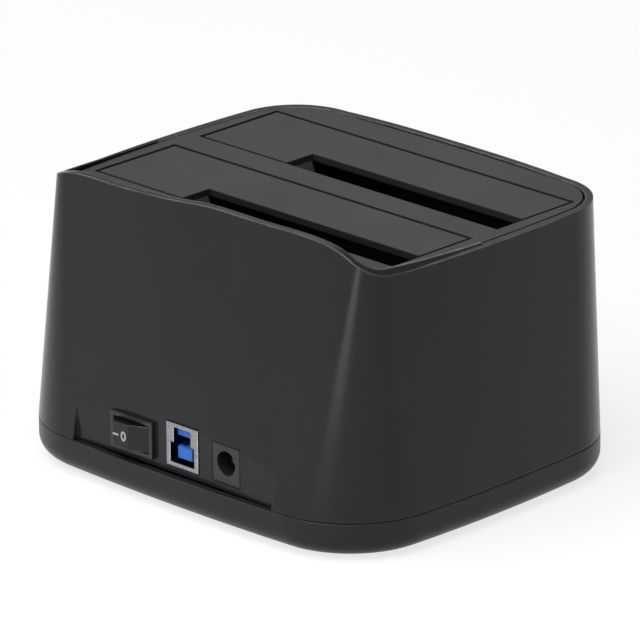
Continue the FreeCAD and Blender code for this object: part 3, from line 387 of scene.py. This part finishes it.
class DUPLICATOR_OT_sockets(bpy.types.Operator):
    """Finishes the data socket, the power inlet and the rocker switch"""

    bl_idname = "duplicator.sockets"
    bl_label = "Sockets and switch"

    def execute(self, context):
        # nickel on stamped steel: grey, with edges painted bright, partly rubbed and partly a
        # painted highlight
        coat(worked_metal("stamped steel, nickel plated", "a4a4a9", "86868c", roughness=0.16,
                          mark_mm=(0.6, 0.6, 0.6), edge="fafafc", edge_mm=0.35),
             "usb_shell")
        # glass-filled PBT: an even, bright blue, with painted shade darkening its edges and corners
        coat(moulded_plastic("moulded PBT, blue", "2f7fe8", "2974dc", roughness=0.35, grain_mm=0.4,
                             grain_depth_mm=0.01, edge="0a1c60", edge_mm=0.35),
             "usb_insulator")
        # gold over nickel: warm and bright
        coat(worked_metal("contact alloy, gold plated", "e8c368", "d9b056", roughness=0.2),
             "usb_contacts", "sata_contacts_front", "sata_contacts_rear")
        # nylon takes a fine grain: a low sheen
        coat(moulded_plastic("moulded nylon, black", "262629", "222225", roughness=0.36,
                             grain_mm=0.5, grain_depth_mm=0.01, edge="3e3e42"),
             "jack_body", "sata_housing_front", "sata_housing_rear", "board_header",
             "switch_housing", "button_switch")
        # nickel on turned brass: pale and mirror-like
        coat(worked_metal("turned brass, nickel plated", "dcdcdd", "c9c9cb", roughness=0.2),
             "jack_pin", "jack_spring", "switch_terminals")
        # nylon from a polished mould: the glossiest plastic on it
        coat(moulded_plastic("moulded nylon, polished", "161617", "131314", roughness=0.24,
                             grain_mm=0.8, grain_depth_mm=0.006, specular=0.35),
             "switch_rocker", "copy_button", "button_plunger")
        return {"FINISHED"}


class DUPLICATOR_OT_marks(bpy.types.Operator):
    """Prints the on and off marks on the rocker's raised half"""

    bl_idname = "duplicator.marks"
    bl_label = "Rocker marks"

    def execute(self, context):
        look = context.scene.duplicator_marks
        hinge = Vector(next(joint["pos_m"] for joint in frame["joints"]
                            if joint["name"] == "rocker_pivot"))
        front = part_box("switch_rocker")[1].y
        # pad-printing ink: an opaque, faintly uneven white
        white = moulded_plastic("pad printing, white", "e4e4e2", "d6d6d4", roughness=0.5,
                                grain_mm=0.3, grain_depth_mm=0.01)
        self.print_mark("on_mark", white, 4, hinge + Vector((look.dash_place, 0, 0)), front,
                        look.dash_length, look.line)
        self.print_mark("off_mark", white, 40, hinge + Vector((look.ring_place, 0, 0)), front,
                        look.ring_width, look.ring_height, look.line)
        return {"FINISHED"}

    def print_mark(self, name, ink, corners, place, front, width, height, line=None):
        """Lays a flat bar, or a ring where a line is given, on the rocker's sloping face, and
        gives it the ink's thickness."""
        bpy.ops.object.select_all(action="DESELECT")
        turn = math.pi / corners
        bpy.ops.mesh.primitive_circle_add(vertices=corners, radius=0.5 / math.cos(turn),
                                          fill_type="NGON", location=(0, 0, 0))
        mark = bpy.context.object
        mark.name = name
        bpy.ops.object.mode_set(mode="EDIT")
        bpy.ops.mesh.select_all(action="SELECT")
        bpy.ops.transform.rotate(value=turn, orient_axis="Z", center_override=(0, 0, 0))
        bpy.ops.transform.resize(value=(width, height, 1))
        if line:
            bpy.ops.mesh.inset(thickness=line)
            bpy.ops.mesh.delete(type="FACE")
        bpy.ops.object.mode_set(mode="OBJECT")
        mark.rotation_euler = (-math.pi / 2, 0, 0)
        mark.location = (place.x, front + 2 * MM, place.z)
        only(mark)
        bpy.ops.object.transform_apply(location=True, rotation=True, scale=True)
        apply_modifier(mark, "SHRINKWRAP", target=frame["nodes"]["switch_rocker"],
                       wrap_method="PROJECT", use_project_y=True, use_negative_direction=True,
                       use_positive_direction=False, offset=INK_GAP_MM * MM)
        apply_modifier(mark, "SOLIDIFY", thickness=INK_MM * MM, offset=-1)
        mark.data.materials.append(ink)
        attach(mark, "rocker")


class DUPLICATOR_OT_insides(bpy.types.Operator):
    """Finishes the boards, the parts on them, the lamps, the pins, springs and screws"""

    bl_idname = "duplicator.insides"
    bl_label = "Boards and fasteners"

    def execute(self, context):
        # green lacquer over glass-epoxy board: glossy, and its tracks show through
        coat(solder_mask("solder mask on glass epoxy", "14502f", "1f6b40"),
             "main_board", "front_board")
        # filled epoxy: matt and nearly black
        coat(moulded_plastic("epoxy moulding compound", "1c1c1e", "19191b", roughness=0.6,
                             grain_mm=0.3, grain_depth_mm=0.02),
             "bridge_chip", "copy_controller", "memory_chip")
        coat(moulded_plastic("ferrite and lacquered wire", "4a4846", "3c3a39", roughness=0.6,
                             grain_mm=0.8, grain_depth_mm=0.05),
             "power_coils")
        # aluminium drawn into cans: pale grey with a soft sheen
        coat(worked_metal("drawn aluminium", "d2d3d6", "c0c1c5", roughness=0.3),
             "filter_capacitors", "clock_crystal")
        # zinc on steel: a cooler grey, a little cloudy
        coat(worked_metal("steel, zinc plated", "bfc0c4", "a3a4a9", roughness=0.3),
             "case_screws", "frame_screws", "board_screws", "flap_pin_front", "flap_pin_rear")
        # spring wire shows the marks of the die along it
        coat(worked_metal("drawn spring steel", "a9a9ad", "8c8c90", roughness=0.28,
                          mark_mm=(2.0, 0.2, 0.2)),
             "flap_spring_front", "flap_spring_rear")
        # the lamps' epoxy scatters light, and the guides' polycarbonate passes it
        coat(cast_resin("cast epoxy, clouded", "e9e4d2", roughness=0.2, transmission=0.5),
             "status_lamps")
        coat(cast_resin("moulded polycarbonate, clear", "f0f2f4", roughness=0.12,
                        transmission=0.9),
             "light_guides")
        return {"FINISHED"}


class DUPLICATOR_OT_stage(bpy.types.Operator):
    """Lays the floor, hangs the lights and sets the camera"""

    bl_idname = "duplicator.stage"
    bl_label = "Stage"

    def execute(self, context):
        look = context.scene.duplicator_stage
        low, high = (Vector(corner) for corner in CAD_BOX)
        middle = (low + high) / 2
        self.lay_floor(look)
        for name, (offset, width, height, power) in LAMPS.items():
            self.hang_lamp(context, name, middle, offset, width, height, power)
        self.light_room(context, look)
        self.set_camera(context, look, middle)
        return {"FINISHED"}

    def lay_floor(self, look):
        """A sheet of pale paper far larger than the view: it keeps the contact shadow, and
        seen straight or in a reflection it shows white."""
        bpy.ops.object.select_all(action="DESELECT")
        bpy.ops.mesh.primitive_plane_add(size=FLOOR_SIZE, location=(0, 0, 0))
        floor = bpy.context.object
        floor.name = "floor"
        paper, _ = new_material("matt white paper")
        seen = node(paper, "ShaderNodeLightPath")
        direct = node(paper, "ShaderNodeMath",
                      {0: seen.outputs["Is Camera Ray"], 1: seen.outputs["Is Glossy Ray"]},
                      operation="MAXIMUM")
        shown = node(paper, "ShaderNodeMath",
                     {0: direct.outputs[0], 1: seen.outputs["Is Transmission Ray"]},
                     operation="MAXIMUM")
        level = node(paper, "ShaderNodeMath", {0: shown.outputs[0], 1: look.floor_glow},
                     operation="MULTIPLY")
        glow = node(paper, "ShaderNodeEmission", {"Strength": level.outputs[0]})
        matt = node(paper, "ShaderNodeBsdfDiffuse", {"Color": linear(look.floor_colour)})
        both = node(paper, "ShaderNodeAddShader",
                    {0: matt.outputs["BSDF"], 1: glow.outputs["Emission"]})
        finish_material(paper, both.outputs["Shader"])
        floor.data.materials.append(paper)

    def hang_lamp(self, context, name, middle, offset, width, height, power):
        """A softbox at that offset from the object's middle, turned to face it."""
        lamp = bpy.data.lights.new(name, "AREA")
        lamp.shape, lamp.size, lamp.size_y, lamp.energy = "RECTANGLE", width, height, power
        holder = bpy.data.objects.new(name, lamp)
        context.scene.collection.objects.link(holder)
        holder.location = middle + Vector(offset)
        holder.rotation_euler = (-Vector(offset)).to_track_quat("-Z", "Y").to_euler()
        holder.visible_camera = False

    def light_room(self, context, look):
        """Even daylight from all round. The camera sees it as white, and so does clear resin."""
        room = bpy.data.worlds.new("pale studio")
        context.scene.world = room
        room.use_nodes = True
        room.node_tree.nodes.clear()
        seen = node(room, "ShaderNodeLightPath")
        dim = node(room, "ShaderNodeBackground", {"Strength": look.daylight})
        white = node(room, "ShaderNodeBackground", {"Strength": 1.0})
        shown = node(room, "ShaderNodeMath", {0: seen.outputs["Is Camera Ray"],
                                              1: seen.outputs["Is Transmission Ray"]},
                     operation="MAXIMUM")
        either = node(room, "ShaderNodeMixShader", {"Fac": shown.outputs[0],
                                                    1: dim.outputs[0], 2: white.outputs[0]})
        node(room, "ShaderNodeOutputWorld", {"Surface": either.outputs[0]})

    def set_camera(self, context, look, middle):
        """A long lens from behind and above, turned slightly about its own axis."""
        lens = bpy.data.cameras.new("camera")
        lens.lens, lens.sensor_width, lens.clip_end = look.lens, SENSOR_MM, FAR_CLIP
        camera = bpy.data.objects.new("camera", lens)
        context.scene.collection.objects.link(camera)
        turn = (Euler((math.pi / 2 - look.elevation, 0, look.azimuth)).to_matrix()
                @ Matrix.Rotation(look.roll, 3, "Z"))
        camera.matrix_world = Matrix.Translation(
            middle + Vector(look.aim) + turn @ Vector((0, 0, look.distance))) @ turn.to_4x4()
        context.scene.camera = camera
        context.scene.view_settings.view_transform = "Standard"


# ---------------------------------------------------------------- panel and registering

OPERATORS = (DUPLICATOR_OT_casing, DUPLICATOR_OT_sockets, DUPLICATOR_OT_marks,
             DUPLICATOR_OT_insides, DUPLICATOR_OT_stage)


class DUPLICATOR_PT_panel(bpy.types.Panel):
    """Lists the steps that finish the duplicator"""

    bl_idname = "DUPLICATOR_PT_panel"
    bl_label = "Drive duplicator"
    bl_space_type = "VIEW_3D"
    bl_region_type = "UI"
    bl_category = "Duplicator"

    def draw(self, context):
        for operator in OPERATORS:
            self.layout.operator(operator.bl_idname)
        for settings in (context.scene.duplicator_casing, context.scene.duplicator_marks,
                         context.scene.duplicator_stage):
            box = self.layout.box()
            for name in settings.bl_rna.properties.keys():
                if name not in ("rna_type", "name"):
                    box.prop(settings, name)


CLASSES = (CasingSettings, MarkSettings, StageSettings, *OPERATORS, DUPLICATOR_PT_panel)


def register():
    for entry in CLASSES:
        bpy.utils.register_class(entry)
    bpy.types.Scene.duplicator_casing = bpy.props.PointerProperty(type=CasingSettings)
    bpy.types.Scene.duplicator_marks = bpy.props.PointerProperty(type=MarkSettings)
    bpy.types.Scene.duplicator_stage = bpy.props.PointerProperty(type=StageSettings)


def unregister():
    del bpy.types.Scene.duplicator_stage
    del bpy.types.Scene.duplicator_marks
    del bpy.types.Scene.duplicator_casing
    for entry in reversed(CLASSES):
        bpy.utils.unregister_class(entry)


def main():
    register()
    bpy.ops.duplicator.casing()
    bpy.ops.duplicator.sockets()
    bpy.ops.duplicator.marks()
    bpy.ops.duplicator.insides()
    bpy.ops.duplicator.stage()


if __name__ == "__main__":
    main()
